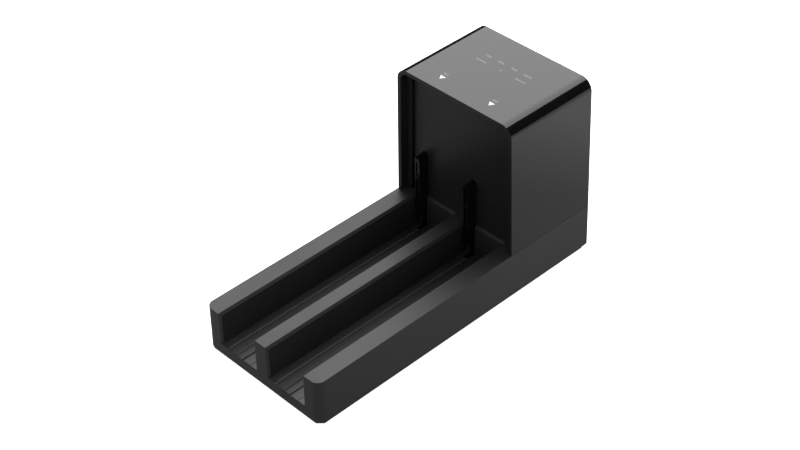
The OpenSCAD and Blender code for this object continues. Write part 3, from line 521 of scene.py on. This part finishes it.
def number(name, text, height, place, material, stretch=1.0, body="dock"):
    """Figures as thin solids of ink: drawn flat about their middle, stretched in width, then laid on
    a surface. A figure is FIGURE_SHARE of its font's size high."""
    curve = bpy.data.curves.new(name, "FONT")
    curve.body, curve.align_x, curve.align_y = text, "CENTER", "CENTER"
    curve.size, curve.extrude, curve.resolution_u = height / FIGURE_SHARE, INK_THICK / 2, 3
    writing = bpy.data.objects.new(name, curve)
    mesh = bpy.data.meshes.new_from_object(writing)
    bpy.data.objects.remove(writing)
    points = np.empty(3 * len(mesh.vertices))
    mesh.vertices.foreach_get("co", points)
    points = points.reshape(-1, 3) * (stretch, 1, 1) + (0, 0, INK_THICK / 2)
    mesh.vertices.foreach_set("co", place(points).ravel())
    mesh.name = name
    return settle(name, mesh, material, body)


# %% The figures on the hood and the rocker
FIGURE_HIGH, ROCKER_FIGURE_HIGH = 1.6 * MM, 2.2 * MM
PROGRESS_X = {"25": -14.4 * MM, "50": -4.5 * MM, "75": 5.6 * MM, "100": 15.8 * MM}
PROGRESS_Y, BAY_NUMBER_Y = 86.2 * MM, ARROW_Y + 2.4 * MM
BAY_NUMBERS = dict(zip(("01", "02"), ARROW_X.values()))
ROCKER_MARKS = (("mark_on", "I", 3.3 * MM), ("mark_off", "O", -3.3 * MM))
for text, x in PROGRESS_X.items():
    number(f"progress_{text}", text + "%", FIGURE_HIGH, on_top(x, PROGRESS_Y), ink_grey, stretch=1.3)
for text, x in BAY_NUMBERS.items():
    number(f"bay_number_{text}", text, FIGURE_HIGH, on_top(x, BAY_NUMBER_Y), ink_grey, stretch=1.7)
for name, text, middle in ROCKER_MARKS:
    number(name, text, ROCKER_FIGURE_HIGH, on_rocker(middle), ink_white, body="power_rocker")
print("printed figures:", len(PROGRESS_X) + len(BAY_NUMBERS) + len(ROCKER_MARKS))

# %% [markdown]
# ## The studio floor
#
# The photograph is a product shot on pure white, and the object is black. Black plastic is drawn by
# what it mirrors: the tops mirror one large soft panel up behind them, the sides mirror the table, and
# the hood's rounded shoulder mirrors the dark room between the two. One white floor can't be bright
# to the eye and dim in the sides at once, so the floor is made of two layers. The camera sees the
# upper one, which glows like a light table and is dark only under the object. It is clear from below,
# so that the underside can be looked at. The plastic sees only the lower one, a card that is graded
# along one direction.

# %% A flat layer of floor
FLOOR = 3.0


def staged(name, corners, faces, material):
    """A surface of the studio: it is not part of the object, and it casts no shadow."""
    mesh = bpy.data.meshes.new(name)
    mesh.from_pydata(corners, [], faces)
    mesh.materials.append(material)
    made = bpy.data.objects.new(name, mesh)
    made.visible_shadow = False
    bpy.context.scene.collection.objects.link(made)
    return made


def floor_layer(name, z, material):
    """A square at the height z that reaches FLOOR to each side."""
    corners = [(-FLOOR, -FLOOR, z), (FLOOR, -FLOOR, z), (FLOOR, FLOOR, z), (-FLOOR, FLOOR, z)]
    return staged(name, corners, [(0, 1, 2, 3)], material)


# %% The floor that the camera sees
TRAY_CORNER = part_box("base_tray")[1]
SHADOW_INSET, SHADOW_CORNER, SHADOW_EDGE = 0.8 * MM, 3.3 * MM, 0.3 * MM
SHADOW_X, SHADOW_Y = TRAY_CORNER.x - SHADOW_INSET, TRAY_CORNER.y - SHADOW_INSET
table_white = Finish("table_white", Roughness=0.9, Emission_Strength=0.7)
wide, long = table_white.axis("X").size(), table_white.axis("Y").size()
corner = (wide + long - (SHADOW_X + SHADOW_Y - SHADOW_CORNER)) * math.sqrt(0.5)
outside = (wide - SHADOW_X).most(long - SHADOW_Y).most(corner).ramp(0.0, SHADOW_EDGE)
from_below = table_white.node("ShaderNodeNewGeometry", {}, output="Backfacing")
table_white.set(Base_Color=table_white.blend(outside, grey(0.02), grey(0.9)),
                Alpha=1.0 - from_below,
                Emission_Color=table_white.blend(outside, grey(0.02), grey(1.0)))
floor = floor_layer("floor", 0.0, table_white.material)
floor.visible_glossy = floor.visible_diffuse = False
print("dark under the object to x, y =", round(SHADOW_X / MM, 1), round(SHADOW_Y / MM, 1), "mm")

# %% The card that the plastic mirrors
CARD_Z = -0.5 * MM
CARD_AIM = (0.6, 0.8, 0.0)
# Each stop: a distance in metres along the aim, and the card's glow there
CARD_STOPS = ((-0.14, 0.31), (-0.08, 0.23), (0.015, 0.34), (0.13, 0.47), (0.17, 0.52), (0.21, 0.71),
              (0.23, 0.83), (0.265, 1.04), (0.30, 1.15), (0.36, 1.08), (0.50, 0.80), (0.80, 0.70))


def graded_card():
    """Glow that depends on the distance along one direction, from stop to stop in straight lines."""
    finish = Finish("card_grey", Base_Color=grey(0.0), Specular_IOR_Level=0.0, Emission_Strength=1.0)
    along = finish.node("ShaderNodeVectorMath", {"operation": "DOT_PRODUCT"}, finish.place,
                        CARD_AIM, output="Value")
    glow = CARD_STOPS[0][1]
    for (start, low), (end, high) in zip(CARD_STOPS, CARD_STOPS[1:]):
        glow = along.ramp(start, end, 0.0, high - low) + glow
    finish.set(Emission_Color=finish.blend(glow, grey(0.0), grey(1.0)))
    return finish.material


card = floor_layer("card", CARD_Z, graded_card())
card.visible_camera = False
print("card's brightest stop:", max(CARD_STOPS, key=lambda stop: stop[1]))

# %% [markdown]
# ## The screen and the lights
#
# From behind, the hood's polished top would mirror a black room. A studio has a pale screen there, so
# three tall walls stand round the front, and only reflections see them. The shadowless light of a
# light tent comes from a white world. It is kept out of the reflections, because it would wash the
# black out, and one large Area lamp takes its place there.

# %% A screen round the front
SCREEN, SCREEN_LOW, SCREEN_HIGH = 2.5, 0.02, 1.3
SCREEN_GLOW = 0.55
screen_white = Finish("screen_white", Base_Color=grey(0.0), Specular_IOR_Level=0.0,
                      Emission_Color=grey(1.0), Emission_Strength=SCREEN_GLOW)
bends = [(-SCREEN, 0.0), (-SCREEN, -SCREEN), (SCREEN, -SCREEN), (SCREEN, 0.0)]
screen = staged("screen", [(x, y, z) for z in (SCREEN_LOW, SCREEN_HIGH) for x, y in bends],
                [(0, 1, 5, 4), (1, 2, 6, 5), (2, 3, 7, 6)], screen_white.material)
screen.visible_camera = screen.visible_diffuse = False
print("screen:", round(SCREEN_HIGH - SCREEN_LOW, 2), "m high")

# %% The white world
world = bpy.data.worlds.new("studio")
world.use_nodes = True
world.node_tree.nodes["Background"].inputs["Color"].default_value = grey(1.0)
world.node_tree.nodes["Background"].inputs["Strength"].default_value = 1.0
world.cycles_visibility.glossy = False
bpy.context.scene.world = world

# %% The soft panel
PANEL_Z = 1.0
PANEL_X, PANEL_Y = (-1.5, 0.25), (0.1, 1.6)
PANEL_GLOW = 3.3
lamp = bpy.data.lights.new("soft_panel", "AREA")
lamp.shape = "RECTANGLE"
lamp.size, lamp.size_y = PANEL_X[1] - PANEL_X[0], PANEL_Y[1] - PANEL_Y[0]
lamp.energy = PANEL_GLOW * math.pi * lamp.size * lamp.size_y
panel = bpy.data.objects.new("soft_panel", lamp)
panel.location = (sum(PANEL_X) / 2, sum(PANEL_Y) / 2, PANEL_Z)
panel.visible_camera = False
bpy.context.scene.collection.objects.link(panel)
bpy.context.scene.view_settings.view_transform = "Standard"
print("soft panel:", round(lamp.energy, 1), "W")
